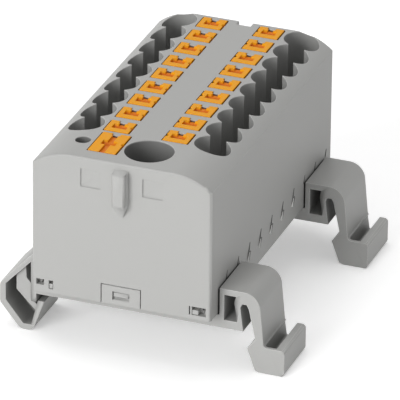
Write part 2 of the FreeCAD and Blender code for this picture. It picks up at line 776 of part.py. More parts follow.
def build_foot(name, front_face):
    """One moulded foot: fixed claw on the left, beam under the housing, sprung hook on the right."""
    body = new_body(name)
    fit = size("foot_fit")
    rise = left_wall - fit
    claw_left = rise - size("claw_reach")
    sole = -size("foot_reach_down")
    wall = size("foot_wall")
    claw_top = bottom + size("claw_top")
    stop = -rail_half - size("stop_play")
    stop_left = stop - size("stop_wall")
    nose_right = -rail_half + size("nose_grip")
    nose_top = -size("rail_sheet") - size("flange_play")
    knee = -size("claw_knee")
    heel_left = claw_left + size("claw_heel")
    heel_right = heel_left + size("claw_sole")
    slant = size("claw_slant")
    box_left = right_wall + fit
    box_top = bottom + size("box_height")
    box_right = box_left + size("box_width")
    gap_right = box_right + size("gap_width") - size("box_waist")
    gap_top = box_top - size("arm_crown")
    arm_outer = gap_right + size("arm_wall")
    arm_foot = arm_outer + size("arm_lean")
    hook_tip = rail_half - size("hook_grip")
    flange_under = -size("rail_sheet")
    hook_low = flange_under - size("hook_bevel")
    lip_right = arm_foot + size("lip_reach")
    lip_top = sole + size("lip_height")
    barb = rail_half - size("flange_play")
    profile = new_sketch(body, f"{name}_profile", "XZ_Plane", -front_face - size("foot_width"))
    corners = [
        (rise, claw_top), (claw_left, size("claw_shoulder")), (claw_left, knee), (heel_left, sole),
        (heel_right, sole), (nose_right, nose_top), (nose_right - size("nose_width"), nose_top),
        (heel_right - wall / 4, sole + wall), (heel_left + wall / 2, sole + wall),
        (claw_left + wall, knee + wall / 2), (claw_left + wall, size("claw_shoulder")),
        (stop_left, claw_top - slant - (rise - stop_left)), (stop_left, nose_top - size("flange_play")),
        (stop, nose_top - size("flange_play")), (stop, 0), (box_right, 0),
        (box_right - size("box_waist"), gap_top - size("gap_width") / 2),
        (box_right - size("box_waist") / 2, gap_top), (gap_right - size("gap_width") / 4, gap_top),
        (gap_right, gap_top - size("gap_width") / 2), (barb, flange_under), (hook_tip, hook_low),
        (barb, sole + size("edge_radius") / 2), (barb + size("hook_toe") / 2, sole), (lip_right, sole),
        (lip_right, lip_top), (arm_foot, lip_top), (arm_outer, box_top), (box_left, box_top),
        (box_left, bottom), (rise, bottom)]
    add_outline(profile, corners)
    floor = size("box_floor")
    waist = box_right - size("box_waist") - size("box_wall")
    window = [(box_left + size("box_wall"), floor), (box_right - size("box_wall"), floor),
              (waist, gap_top), (waist + size("box_waist") / 2, box_top - size("box_wall")),
              (box_left + size("box_wall"), box_top - size("box_wall"))]
    add_outline(profile, window)
    new_pad(body, profile, size("foot_width"))
    round_edges(body, running_through([(arm_outer, box_top)]), size("arch_radius"), f"{name}_arch")
    claw_corners = [(claw_left, size("claw_shoulder")), (claw_left, knee), (heel_left, sole),
                    (heel_right, sole)]
    round_edges(body, running_through(claw_corners), size("heel_radius"), f"{name}_claw_rounds")
    lip_corners = [(lip_right, sole), (lip_right, lip_top), (arm_foot, lip_top)]
    round_edges(body, running_through(lip_corners), size("edge_radius"), f"{name}_lip_rounds")
    web = new_sketch(body, f"{name}_web", "XZ_Plane",
                     -front_face - size("foot_width") / 2 - size("foot_web") / 2)
    half_wall = wall / 2
    add_outline(web, [
        (stop_left + half_wall, claw_top - slant), (claw_left + half_wall, size("claw_shoulder")),
        (claw_left + half_wall, knee), (heel_left + half_wall / 2, sole + half_wall),
        (heel_right - half_wall / 2, sole + half_wall), (nose_right - half_wall, nose_top),
        (stop, nose_top), (stop, 0)])
    add_outline(web, [(box_left + half_wall, floor - half_wall), (box_right - half_wall, floor - half_wall),
                      (waist + half_wall, gap_top), (waist + half_wall, box_top - half_wall),
                      (box_left + half_wall, box_top - half_wall)])
    new_pad(body, web, size("foot_web"))
    return body


def build_terminal_points():
    """The button and clamp spring of every terminal point, both rows, then those of the infeed."""
    pieces = []
    for side in (-1, 1):
        anchor = middle + (chamber_inner + size("spring_thickness") / 2 + size("spring_fit")) * side
        reach = middle + (tongue_inner - size("spring_play")) * side
        for number in range(int(size("cells_per_row").value)):
            label = f"{side_name(side)}_{number + 1}"
            centre_y = first_cell_y + pitch * number
            pieces.append(build_button(f"push_button_{label}", middle + size("button_inset") * side,
                                       middle + button_outer * side, middle + button_outer * side,
                                       centre_y, size("button_depth") / 2, centre_y))
            pieces.append(build_spring(f"clamp_spring_{label}", anchor, side, centre_y,
                                       size("spring_width"), reach))
    near = middle - size("infeed_button_outer") + size("infeed_button_reach")
    far = middle - size("infeed_button_outer")
    half = size("infeed_button_depth") / 2
    pieces.append(build_button("push_button_infeed", near, far, near, infeed_button_y, half,
                               infeed_button_y - half))
    anchor = far - size("button_gap") + size("spring_thickness") / 2 + size("spring_fit")
    pieces.append(build_spring("clamp_spring_infeed", anchor, 1, infeed_button_y,
                               size("infeed_spring_width"), infeed_tongue_inner - size("spring_play")))
    return pieces


front_foot_face = front + size("foot_inset")
rear_foot_face = back - size("foot_inset") - size("foot_width")
pieces = [build_housing(), build_base_cover(), build_current_bar()]
pieces += build_terminal_points()
pieces += [build_foot("din_foot_front", front_foot_face), build_foot("din_foot_rear", rear_foot_face)]
doc.recompute()

failed = [item.Name for item in doc.Objects if {"Invalid", "Error"} & set(item.State)]
unsound = [piece.Label for piece in pieces if piece.Shape.isNull() or not piece.Shape.isValid()]
if failed or unsound:
    raise RuntimeError(f"failed {failed}, unsound {unsound}")

os.makedirs("parts", exist_ok=True)
for piece in pieces:
    piece.Shape.exportStep(f"parts/{piece.Label}.step")
    box = piece.Shape.BoundBox
    print(f"{piece.Label}: {len(piece.Shape.Solids)} solid, {piece.Shape.Volume:.1f} mm3, "
          f"x {box.XMin:.2f} to {box.XMax:.2f}, y {box.YMin:.2f} to {box.YMax:.2f}, "
          f"z {box.ZMin:.2f} to {box.ZMax:.2f}")
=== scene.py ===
# %% [markdown]
# # Dressing a power distribution block
#
# The block is a grey moulded housing with two rows of push-in terminals. Each terminal has a funnel for
# the wire, dark inside from shade that is partly painted, and an orange button that opens its clamp. Two
# feet with sprung hooks carry it. The imported model already holds every solid in its right place, in
# metres.
# What it lacks is the look: moulded edges, the grain of the plastic, and light. This lesson adds those,
# piece by piece.

# %% Load the imported model
import json
import math

import bmesh
import bpy
from mathutils import Matrix, Vector


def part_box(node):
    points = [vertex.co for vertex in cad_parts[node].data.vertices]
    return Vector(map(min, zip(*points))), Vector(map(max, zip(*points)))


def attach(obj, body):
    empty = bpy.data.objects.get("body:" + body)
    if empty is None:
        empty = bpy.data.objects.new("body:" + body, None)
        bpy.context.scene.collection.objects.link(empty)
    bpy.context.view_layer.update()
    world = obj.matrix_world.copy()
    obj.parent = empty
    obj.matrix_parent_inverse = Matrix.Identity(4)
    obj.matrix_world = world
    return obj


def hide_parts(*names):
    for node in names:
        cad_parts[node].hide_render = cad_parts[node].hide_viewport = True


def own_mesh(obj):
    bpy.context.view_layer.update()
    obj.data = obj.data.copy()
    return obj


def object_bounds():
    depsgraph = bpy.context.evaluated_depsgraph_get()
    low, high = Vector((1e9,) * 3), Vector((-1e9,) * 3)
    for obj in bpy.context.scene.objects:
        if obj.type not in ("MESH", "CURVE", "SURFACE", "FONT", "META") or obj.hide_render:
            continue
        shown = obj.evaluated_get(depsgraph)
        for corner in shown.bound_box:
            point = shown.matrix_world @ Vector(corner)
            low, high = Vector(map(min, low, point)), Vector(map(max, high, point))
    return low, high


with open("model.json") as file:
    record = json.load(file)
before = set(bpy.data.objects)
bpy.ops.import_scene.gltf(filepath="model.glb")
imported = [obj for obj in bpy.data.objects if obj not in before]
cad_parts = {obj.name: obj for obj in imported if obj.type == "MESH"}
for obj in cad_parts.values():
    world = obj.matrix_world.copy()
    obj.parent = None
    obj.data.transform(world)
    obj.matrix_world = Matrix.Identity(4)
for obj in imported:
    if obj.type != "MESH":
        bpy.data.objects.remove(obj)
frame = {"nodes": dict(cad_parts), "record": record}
nodes = frame["nodes"]
cad_box = [list(corner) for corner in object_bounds()]
MM = 0.001
print(len(nodes), "solids, box", cad_box)

# %% [markdown]
# ## The camera
#
# A long lens keeps parallel edges nearly parallel, as in product pictures. The camera could be aimed
# with a Track To constraint, but three turns written out are easier to reason about: round Z, then down
# from the horizon, then a slight roll about the line of sight.

# %% Camera
IMAGE_PIXELS = 400
SENSOR_WIDTH = 36
FOCAL_PIXELS = 6241
NEAREST_SEEN = 0.01


def place_camera(position, yaw, pitch, roll):
    """Stands the camera at a point, turned by yaw, tipped down by pitch and rolled, in degrees."""
    lens = bpy.data.cameras.new("camera")
    lens.sensor_width = SENSOR_WIDTH
    lens.lens = FOCAL_PIXELS * SENSOR_WIDTH / IMAGE_PIXELS
    lens.clip_start = NEAREST_SEEN
    camera = bpy.data.objects.new("camera", lens)
    turn = (Matrix.Rotation(math.radians(yaw), 4, "Z")
            @ Matrix.Rotation(math.radians(90 - pitch), 4, "X")
            @ Matrix.Rotation(math.radians(roll), 4, "Z"))
    camera.matrix_world = Matrix.Translation(position) @ turn
    bpy.context.scene.collection.objects.link(camera)
    bpy.context.scene.camera = camera
    return camera


camera = place_camera(Vector((0.29187, -0.79292, 0.43215)), yaw=20.23, pitch=26.66, roll=0.67)
print("lens", round(camera.data.lens), "mm")

# %% [markdown]
# ## Shader maths as Python
#
# A node tree for a material is a long formula. Wiring it by hand hides the formula, so a small class wraps
# a socket and turns Python's own operators into Math nodes. One method adds any other node: its settings
# first, because they decide which sockets exist, and then the values or links of its sockets.

# %% Sockets that can be added and multiplied
class Wire:
    """A socket of a material's node tree, usable in Python expressions on numbers."""

    def __init__(self, recipe, socket):
        self.recipe = recipe
        self.socket = socket

    def combine(self, operation, first, second):
        return self.recipe.add("ShaderNodeMath", {"operation": operation}, {0: first, 1: second})

    def __add__(self, other):
        return self.combine("ADD", self, other)

    def __sub__(self, other):
        return self.combine("SUBTRACT", self, other)

    def __mul__(self, other):
        return self.combine("MULTIPLY", self, other)

    def __rsub__(self, other):
        return self.combine("SUBTRACT", other, self)

    def __abs__(self):
        return self.combine("ABSOLUTE", self, 0)

    def __lt__(self, other):
        return self.combine("LESS_THAN", self, other)

    def __gt__(self, other):
        return self.combine("GREATER_THAN", self, other)

    def root(self):
        return self.combine("SQRT", self, 0)

    __radd__ = __add__
    __rmul__ = __mul__


def between(value, low, high):
    """1 where the value lies between two limits, and 0 elsewhere."""
    return (value > low) * (value < high)


print("masks and sums can be written as Python")


# %% A material recipe
EDGE_SAMPLES = 8
EDGE_TURN = (0.01, 0.12)


class Recipe:
    """Builds one material: a Principled shader and whatever is wired into it."""

    def __init__(self, name, color, **constants):
        self.material = bpy.data.materials.new(name)
        self.material.use_nodes = True
        self.tree = self.material.node_tree
        self.shader = self.tree.nodes["Principled BSDF"]
        self.shader.inputs["Base Color"].default_value = (*color, 1)
        self.material.diffuse_color = (*color, 1)
        for socket, value in constants.items():
            self.shader.inputs[socket.replace("_", " ")].default_value = value

    def add(self, kind, settings=None, sockets=None, output=0):
        node = self.tree.nodes.new(kind)
        for name, value in (settings or {}).items():
            setattr(node, name, value)
        for name, value in (sockets or {}).items():
            self.feed(node.inputs[name], value)
        return Wire(self, node.outputs[output])

    def feed(self, socket, value):
        if isinstance(value, Wire):
            self.tree.links.new(value.socket, socket)
        else:
            socket.default_value = value

    def split(self, vector):
        """The three numbers of a vector."""
        node = self.tree.nodes.new("ShaderNodeSeparateXYZ")
        self.feed(node.inputs[0], vector)
        return [Wire(self, socket) for socket in node.outputs]

    def place(self):
        """The point's Object coordinates."""
        return self.add("ShaderNodeTexCoord", output="Object")

    def normal(self):
        return self.add("ShaderNodeNewGeometry", output="Normal")

    def ramp(self, value, start, end, low=0.0, high=1.0):
        """Runs smoothly from low to high while the value goes from start to end."""
        settings = {"interpolation_type": "SMOOTHSTEP"}
        sockets = {"Value": value, "From Min": start, "From Max": end, "To Min": low, "To Max": high}
        return self.add("ShaderNodeMapRange", settings, sockets)

    def scaled(self, color, shade):
        return self.add("ShaderNodeVectorMath", {"operation": "SCALE"}, {0: color, "Scale": shade})

    def rounded(self, edge_mm):
        """Normals that turn round the edges, as if these had the radius edge_mm."""
        return self.add("ShaderNodeBevel", {"samples": EDGE_SAMPLES}, {"Radius": edge_mm * MM})

    def grain(self, height, strength, depth_mm, edge_mm):
        """A bump on normals that are rounded at the edges."""
        sockets = {"Strength": strength, "Distance": depth_mm * MM, "Height": height,
                   "Normal": self.rounded(edge_mm)}
        return self.add("ShaderNodeBump", {}, sockets)

    def edges(self, edge_mm):
        """1 on edges and 0 on plain faces, from how far rounding the edges turns the normal."""
        sockets = {0: self.rounded(edge_mm), 1: self.normal()}
        likeness = self.add("ShaderNodeVectorMath", {"operation": "DOT_PRODUCT"}, sockets, "Value")
        return self.ramp(1 - likeness, *EDGE_TURN)

    def noise(self, size_mm, detail=2.0):
        """Cloudy noise from 0 to 1, whose blotches are about size_mm across."""
        sockets = {"Vector": self.place(), "Scale": 1 / (size_mm * MM), "Detail": detail}
        return self.add("ShaderNodeTexNoise", {}, sockets)

    def finish(self, **wires):
        for socket, wire in wires.items():
            self.feed(self.shader.inputs[socket.replace("_", " ")], wire)
        return self.material


print("recipes ready,", EDGE_SAMPLES, "samples for an edge")

# %% [markdown]
# ## Moulded grey plastic
#
# Housings like this are moulded in tools whose steel is spark-eroded, which leaves a fine, even grain.
# The grain is far smaller than a pixel, so it is a bump and not geometry. Real mouldings also cool
# unevenly: the colour drifts by a percent or two over centimetres, and gloss varies a little with the
# grain. No moulded edge is perfectly sharp either. A tenth of a millimetre of rounding catches a thin line
# of light, and that line is most of what makes a plain grey box look real. The Bevel node turns the normals
# round each edge, so the solid's own form needs no change.

# %% Grey plastic
PLASTIC_GLOSS = 0.28
CLOUD_MM = 14
CLOUD_DRIFT = 0.03
CLOUD_GLOSS = 0.08
GRAIN_MM = 0.22
GRAIN_DRIFT = 0.024
GRAIN_GLOSS = 0.12
GRAIN_STRENGTH = 0.35
GRAIN_DEPTH_MM = 0.012


def moulded_plastic(name, color, roughness, edge_mm, shade_of=None):
    """Spark-eroded plastic. The function shade_of gives the shade of its colour from place to place."""
    recipe = Recipe(name, color, IOR=1.5, Specular_IOR_Level=PLASTIC_GLOSS)
    clouds = recipe.noise(CLOUD_MM, 3)
    specks = recipe.noise(GRAIN_MM)
    shade = (clouds - 0.5) * CLOUD_DRIFT + (specks - 0.5) * GRAIN_DRIFT + 1
    if shade_of:
        shade = shade * shade_of(recipe)
    gloss = (clouds - 0.5) * CLOUD_GLOSS + (specks - 0.5) * GRAIN_GLOSS + roughness
    return recipe.finish(Base_Color=recipe.scaled(color, shade), Roughness=gloss,
                         Normal=recipe.grain(specks, GRAIN_STRENGTH, GRAIN_DEPTH_MM, edge_mm))


cover_grey = moulded_plastic("cover_grey", (0.40, 0.40, 0.39), roughness=0.50, edge_mm=0.12)
print(cover_grey.name)

# %% [markdown]
# ## Hollows and rims of the feet
#
# The feet are thin-walled, with narrow hollows, and light alone leaves these paler than on the real thing.
# The Ambient Occlusion node measures how much of the sky a foot's own walls hide, and a ramp turns that
# into painted shade, a darker colour. The gap beside the housing is so narrow that painted shade simply
# makes it dark, from its place: its left, right, low and high limit, in millimetres. Open edges catch more
# light than a face, so the edge mask paints a slight highlight on them.

# %% Shade in the feet
SIDE_GAP = (11.20, 11.62, 2.2, 8.0)
GAP_MARGIN = 0.02 * MM
GAP_BELOW = 0.1 * MM
GAP_DARKENING = 0.85
SKY_SAMPLES = 8
HOLLOW_REACH = 4 * MM
HOLLOW_SHADE = 0.6
SKY_IN_HOLLOW = 0.1
SKY_ON_FACE = 0.85
SKY_AT_RIM = 0.5
FOOT_RIM_MM = 0.2
FOOT_RIM_LIGHT = 0.6


def foot_shade(recipe):
    """Paints shade into the narrow hollows of a foot and the gap beside the housing, and a highlight on its
    rims.
    """
    settings = {"samples": SKY_SAMPLES, "only_local": True}
    open_sky = recipe.add("ShaderNodeAmbientOcclusion", settings, {"Distance": HOLLOW_REACH}, "AO")
    # painted shade in the hollows and the gap, and a painted highlight on the rims
    hollows = recipe.ramp(open_sky, SKY_IN_HOLLOW, SKY_ON_FACE, HOLLOW_SHADE, 1.0)
    x, _, z = recipe.split(recipe.place())
    left, right, low, _ = [limit * MM for limit in SIDE_GAP]
    in_gap = between(x, left - GAP_MARGIN, right + GAP_MARGIN) * (z > low - GAP_BELOW)
    rims = recipe.edges(FOOT_RIM_MM) * (open_sky > SKY_AT_RIM)
    return hollows * (1 - in_gap * GAP_DARKENING) * (rims * FOOT_RIM_LIGHT + 1)


foot_grey = moulded_plastic("foot_grey", (0.39, 0.39, 0.38), roughness=0.46, edge_mm=0.25,
                            shade_of=foot_shade)
print(foot_grey.name)

# %% [markdown]
# ## The housing's form, measured
#
# The housing's shading needs to know where things are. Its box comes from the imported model, and so do the
# rows, because a button lies beside each funnel. The top is flat in the middle and drops along an arc to
# either side, and the arc's radius follows from how far and how deep it runs.

# %% Places on the housing
RIB_DEPTH = 1.5 * MM
SIDE_BUMP = 0.25 * MM
CROWN_FLAT = 8 * MM
CROWN_DROP = 2.3 * MM
FUNNEL_PLACE = 10 * MM
FUNNEL_RADIUS = 2.75 * MM
WALL_MARGIN = 0.03 * MM
INFEED_HOLE = (-0.55 * MM, 5.5 * MM, 3.75 * MM)
TEST_HOLE = (-11.1 * MM, 5.6 * MM, 1.2 * MM)

housing_low, housing_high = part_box("housing")
front_face = housing_low.y + RIB_DEPTH
housing_centre = (front_face + housing_high.y) / 2
housing_middle = (housing_low.x + housing_high.x) / 2
half_width = housing_high.x - SIDE_BUMP - housing_middle
crown_run = half_width - CROWN_FLAT
crown_radius = (crown_run ** 2 + CROWN_DROP ** 2) / (2 * CROWN_DROP)


def middle_along(node):
    """The middle of a node's box along the housing."""
    low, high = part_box(node)
    return (low.y + high.y) / 2


button_nodes = sorted(node for node in nodes if node.startswith("push_button"))
row_nodes = [node for node in button_nodes if "infeed" not in node]
row_places = [middle_along(node) for node in row_nodes]
row_start = min(row_places) - FUNNEL_RADIUS - WALL_MARGIN
row_end = max(row_places) + FUNNEL_RADIUS + WALL_MARGIN
print("crown radius", round(crown_radius / MM, 2), "mm, rows from", row_start, "to", row_end)

# %% [markdown]
# ## The housing's dark funnels
#
# The walls of the funnels, of the infeed hole and of the test hole are drawn against polished cores, and
# they sit in each other's shade, so they read much darker than the face around them. Light alone gives
# only part of that. The rest is painted shade, a darker colour that starts just below the rim, found from
# the place alone: inside a row or a hole, and below the arc of the top. The walls of the button shafts get
# darker painted shade still, because they show only through the play round a button.
#
# Three smaller painted marks complete the housing. The dents and bumps low in its long sides are a
# millimetre wide, and at that size it is their contrast that shows, so painted shade darkens the dents and
# the bumps' faces, and a painted highlight lightens the bumps' front flanks. The walls behind the feet
# stand in a narrow gap and get painted shade. And the rims of the top get a painted highlight, as on the
# feet.

# %% Masks on the housing
SHAFT_REACH = 0.25 * MM
WALL_SKIN = 0.02 * MM
DENT_DEPTH = 0.5 * MM
DENT_DARKENING = 0.6
BUMP_DARKENING = 0.55
FLANK_LIGHT = 1.3
FACES_FRONT = -0.5
MARKS_TOP = 8 * MM
MARKS_REACH = 25.5 * MM
GAP_TOP = 6.3 * MM
GAP_INSET = 0.05 * MM
GAP_WALL_DARKENING = 0.7


def in_shaft(x, across, y):
    """1 in the plan of the button shafts and a little round it."""
    low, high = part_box("push_button_right_1")
    near_side = low.x - housing_middle - SHAFT_REACH
    far_side = high.x - housing_middle + SHAFT_REACH
    in_rows = between(across, near_side, far_side) * between(y, row_start, row_end)
    low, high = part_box("push_button_infeed")
    shaft_end = min(high.y + SHAFT_REACH, row_start)
    return in_rows + (between(x, low.x - SHAFT_REACH, high.x + SHAFT_REACH)
                      * between(y, low.y - SHAFT_REACH, shaft_end))


def in_round_hole(recipe, hole):
    """1 within the radius of a round hole that stands upright in the housing."""
    hole_x, from_front, radius = hole
    settings = {"operation": "MULTIPLY"}
    flat = recipe.add("ShaderNodeVectorMath", settings, {0: recipe.place(), 1: (1, 1, 0)})
    sockets = {0: flat, 1: (hole_x, front_face + from_front, 0)}
    away = recipe.add("ShaderNodeVectorMath", {"operation": "DISTANCE"}, sockets, "Value")
    return away < radius + WALL_MARGIN


def mark_shade(recipe, x, across, y, z):
    """Painted shade in the dents and on the bump faces low in the long sides, and a painted highlight on
    the right side's front flanks.
    """
    forward = recipe.split(recipe.normal())[1] < FACES_FRONT
    low_down = (z < MARKS_TOP) * (abs(y - housing_centre) < MARKS_REACH)
    beyond = across - half_width
    dent = between(beyond, -DENT_DEPTH - WALL_SKIN, -WALL_SKIN) * low_down
    bump = (beyond > WALL_SKIN) * low_down
    # painted highlight on the front flanks of the right side's bumps, painted shade on the other bump faces
    flank_highlight = bump * forward * (x > housing_middle)
    shaded_bump = bump * (1 - forward)
    return (1 - dent * DENT_DARKENING) * (1 - shaded_bump * BUMP_DARKENING) * (flank_highlight * FLANK_LIGHT + 1)


def gap_shade(across, y, z):
    """Painted shade on the walls where the housing stands close beside the claws and boxes of the feet."""
    low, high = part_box("din_foot_rear")
    beside_foot = between(abs(y), low.y + GAP_INSET, high.y - GAP_INSET) * (z < GAP_TOP)
    on_wall = between(across - half_width, -WALL_SKIN, WALL_SKIN)
    return 1 - on_wall * beside_foot * GAP_WALL_DARKENING


print("dents and bumps between", housing_centre - MARKS_REACH, "and", housing_centre + MARKS_REACH)

# %% The housing's plastic
FUNNEL_DARKENING = 0.22
HOLE_DARKENING = 0.5
SHAFT_DARKENING = 0.75
SHADE_STARTS = 0.08 * MM
SHADE_FULL = 0.25 * MM
RIM_DEPTH = 0.2 * MM
HOUSING_RIM_MM = 0.16
HOUSING_RIM_LIGHT = 0.3


def housing_shade(recipe):
    """The share of the housing's grey from place to place: 1 on open faces, less with painted shade, more
    with painted highlights.
    """
    x, y, z = recipe.split(recipe.place())
    across = abs(x - housing_middle)
    lean = (across - CROWN_FLAT) * (across > CROWN_FLAT)
    depth = (crown_radius ** 2 - lean * lean).root() + (housing_high.z - crown_radius) - z
    ramp = recipe.ramp(depth, SHADE_STARTS, SHADE_FULL)
    in_row = (abs(across - FUNNEL_PLACE) < FUNNEL_RADIUS + WALL_MARGIN) * between(y, row_start, row_end)
    in_hole = in_round_hole(recipe, INFEED_HOLE) + in_round_hole(recipe, TEST_HOLE)
    in_walls = in_shaft(x, across, y) * (1 - in_row) * (1 - in_hole)
    # painted shade in the funnels, the round holes and the walls of the button shafts
    darkening = in_row * FUNNEL_DARKENING + in_hole * HOLE_DARKENING + in_walls * SHAFT_DARKENING
    # painted highlight on the rims of the top
    rims = recipe.edges(HOUSING_RIM_MM) * (abs(depth) < RIM_DEPTH)
    shade = (1 - ramp * darkening) * (rims * HOUSING_RIM_LIGHT + 1)
    return shade * mark_shade(recipe, x, across, y, z) * gap_shade(across, y, z)


housing_grey = moulded_plastic("housing_grey", (0.40, 0.40, 0.39), roughness=0.50, edge_mm=0.1,
                               shade_of=housing_shade)
print(housing_grey.name, len(housing_grey.node_tree.nodes), "nodes")

# %% [markdown]
# ## Orange buttons
#
# The buttons come from a polished tool, so they are smoother than the housing, with a soft highlight. The
# colour is saturated, and painted shade deepens it towards red in the recesses below the crown. A touch of
# subsurface scattering warms their edges.

# %% Orange plastic
CROWN_ORANGE = (0.80, 0.335, 0.002)
SUNK_SHADE_ORANGE = (0.68, 0.16, 0.003)
SUNK_STARTS = 0.05 * MM
SUNK_FULL = 0.45 * MM
BUTTON_CLOUD_MM = 2.5
BUTTON_GRAIN_MM = 0.18
BUTTON_DRIFT = 0.10
BUTTON_ROUGHNESS = 0.45
BUTTON_GLOSS_DRIFT = 0.15


def orange_plastic():
    """Orange plastic with painted shade that deepens it to red below the button's crown."""
    recipe = Recipe("button_orange", CROWN_ORANGE, IOR=1.5, Specular_IOR_Level=0.18,
                    Subsurface_Weight=0.1, Subsurface_Scale=0.0004, Subsurface_Radius=(1.0, 0.45, 0.1))
    clouds = recipe.noise(BUTTON_CLOUD_MM, 3) - 0.5
    specks = recipe.noise(BUTTON_GRAIN_MM)
    height = recipe.split(recipe.place())[2]
    # painted shade: the colour turns darker and redder below the crown
    sunk = recipe.ramp(cad_box[1][2] - height, SUNK_STARTS, SUNK_FULL)
    colors = {"Factor": sunk, 6: (*CROWN_ORANGE, 1), 7: (*SUNK_SHADE_ORANGE, 1)}
    color = recipe.add("ShaderNodeMix", {"data_type": "RGBA"}, colors, 2)
    return recipe.finish(Base_Color=recipe.scaled(color, clouds * BUTTON_DRIFT + 1),
                         Roughness=clouds * BUTTON_GLOSS_DRIFT + BUTTON_ROUGHNESS,
                         Normal=recipe.grain(specks, strength=0.2, depth_mm=0.008, edge_mm=0.12))


button_orange = orange_plastic()
print(button_orange.name)

# %% [markdown]
# ## Metals inside
#
# The current bar is tin-plated copper: silvery with a warm cast and rolled streaks along its length. The
# clamp springs are bright spring steel, with finer streaks. Both show only through the funnels and holes,
# yet light that falls on them gives the holes their glint.

# %% Metals
STREAK_DRIFT = 0.3
STREAK_GLOSS = 0.2


def rolled_metal(name, color, roughness, streak_mm, stretch):
    """Sheet metal with streaks from rolling, drawn out along Y by the stretch."""
    recipe = Recipe(name, color, Metallic=1.0)
    stretched = recipe.add("ShaderNodeMapping", {}, {"Vector": recipe.place(), "Scale": stretch})
    sockets = {"Vector": stretched, "Scale": 1 / (streak_mm * MM), "Detail": 3.0}
    streaks = recipe.add("ShaderNodeTexNoise", {}, sockets)
    shade = (streaks - 0.5) * STREAK_DRIFT + 1
    gloss = (streaks - 0.5) * STREAK_GLOSS + roughness
    return recipe.finish(Base_Color=recipe.scaled(color, shade), Roughness=gloss,
                         Normal=recipe.grain(streaks, strength=0.3, depth_mm=0.01, edge_mm=0.06))


tinned_copper = rolled_metal("tinned_copper", (0.72, 0.64, 0.56), roughness=0.34, streak_mm=0.4,
                             stretch=(1, 0.08, 1))
spring_steel = rolled_metal("spring_steel", (0.66, 0.66, 0.67), roughness=0.28, streak_mm=0.25,
                            stretch=(1, 0.15, 1))
print(tinned_copper.name, spring_steel.name)

# %% [markdown]
# ## From loose triangles to clean shading
#
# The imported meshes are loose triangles, which shade as flat facets. Their own form is right, so a copy of
# each is kept as it is and only its normals change. Corners are merged, faces that meet at a small angle
# share their normals, and harder turns stay sharp. Weighted normals then let the large flat faces win over
# the thin slivers beside them, which would otherwise bend the light on a flat wall.

# %% Clean copies of solids
SHARP_FROM = math.radians(28)
MERGE_WITHIN = 0.001 * MM


def merged_copy(source, name):
    """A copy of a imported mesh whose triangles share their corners."""
    mesh = source.data.copy()
    mesh.name = name
    work = bmesh.new()
    work.from_mesh(mesh)
    bmesh.ops.remove_doubles(work, verts=work.verts, dist=MERGE_WITHIN)
    work.to_mesh(mesh)
    work.free()
    mesh.materials.clear()
    piece = bpy.data.objects.new(name, mesh)
    bpy.context.scene.collection.objects.link(piece)
    return piece


def smooth(piece):
    """Shades the piece smooth between sharp edges, and weighs its normals by the size of the faces."""
    piece.data.shade_smooth()
    piece.data.set_sharp_from_angle(angle=SHARP_FROM)
    weigh = piece.modifiers.new("weigh", "WEIGHTED_NORMAL")
    weigh.mode = "FACE_AREA_WITH_ANGLE"
    weigh.weight = 100
    weigh.keep_sharp = True


def apply_modifiers(piece):
    """Turns the modified piece into a plain mesh."""
    graph = bpy.context.evaluated_depsgraph_get()
    mesh = bpy.data.meshes.new_from_object(piece.evaluated_get(graph))
    mesh.name = piece.name
    piece.modifiers.clear()
    piece.data = mesh


def settle(piece, material):
    """Turns the modified piece into a plain mesh with one material."""
    apply_modifiers(piece)
    piece.data.materials.clear()
    piece.data.materials.append(material)
    return piece


print("sharp from", round(math.degrees(SHARP_FROM)), "degrees")

# %% [markdown]
# ## Exact normals on the housing
#
# The top is pierced by dozens of holes, so its triangles are long and thin, and averaged normals tip a
# little at the rims. On a plain grey face that shows as smudges. The form is known, though: a flat strip,
# an arc on either side of it, upright walls and round holes. So each face that lies on one of these gets
# the normals that the form has at its corners. The narrow bevel at the front and back edges runs from the
# top's normal to the wall's, which shades it as a rounding. All other faces keep theirs.

# %% The housing's own normals
NEAR = 0.02 * MM
UPRIGHT = 0.01
FACES_UP = 0.6
SAME_WAY = 0.5

round_holes = [(hole_x, front_face + from_front, radius)
               for hole_x, from_front, radius in (INFEED_HOLE, TEST_HOLE)]
for node in row_nodes:
    side = 1 if "right" in node else -1
    round_holes.append((housing_middle + side * FUNNEL_PLACE, middle_along(node), FUNNEL_RADIUS))


def crown_normal(point):
    """The normal of the flat or arched top at a point on it, and None for a point off it."""
    lean = max(abs(point.x - housing_middle) - CROWN_FLAT, 0)
    rise = math.sqrt(max(crown_radius ** 2 - lean ** 2, 0))
    if abs(housing_high.z - crown_radius + rise - point.z) > NEAR:
        return None
    return Vector((math.copysign(lean, point.x - housing_middle), 0, rise)).normalized()


def wall_normal(point, facing):
    """The normal of the outer wall at a point on it that faces roughly the given way, or None."""
    walls = [(0, housing_middle - half_width, -1), (0, housing_middle + half_width, 1),
             (1, front_face, -1), (1, housing_high.y, 1)]
    for axis, place, sign in walls:
        if abs(point[axis] - place) < NEAR and facing[axis] * sign > SAME_WAY:
            return Vector((sign if axis == 0 else 0, sign if axis == 1 else 0, 0))
    return None


def hole_normals(corners):
    """Normals towards the axis of the round hole on whose wall all the corners lie, or None."""
    for centre_x, centre_y, radius in round_holes:
        inward = [Vector((centre_x - corner.x, centre_y - corner.y, 0)) for corner in corners]
        if all(abs(way.length - radius) < NEAR for way in inward):
            return [way.normalized() for way in inward]
    return None


def form_normals(face, corners):
    """The form's own normals at a face's corners, or None where the form isn't a simple one."""
    if abs(face.normal.z) < UPRIGHT:
        flat = [wall_normal(corner, face.normal) for corner in corners]
        return flat if None not in flat else hole_normals(corners)
    if face.normal.z < FACES_UP:
        return None
    exact = [crown_normal(corner) or wall_normal(corner, face.normal) for corner in corners]
    return exact if None not in exact else None


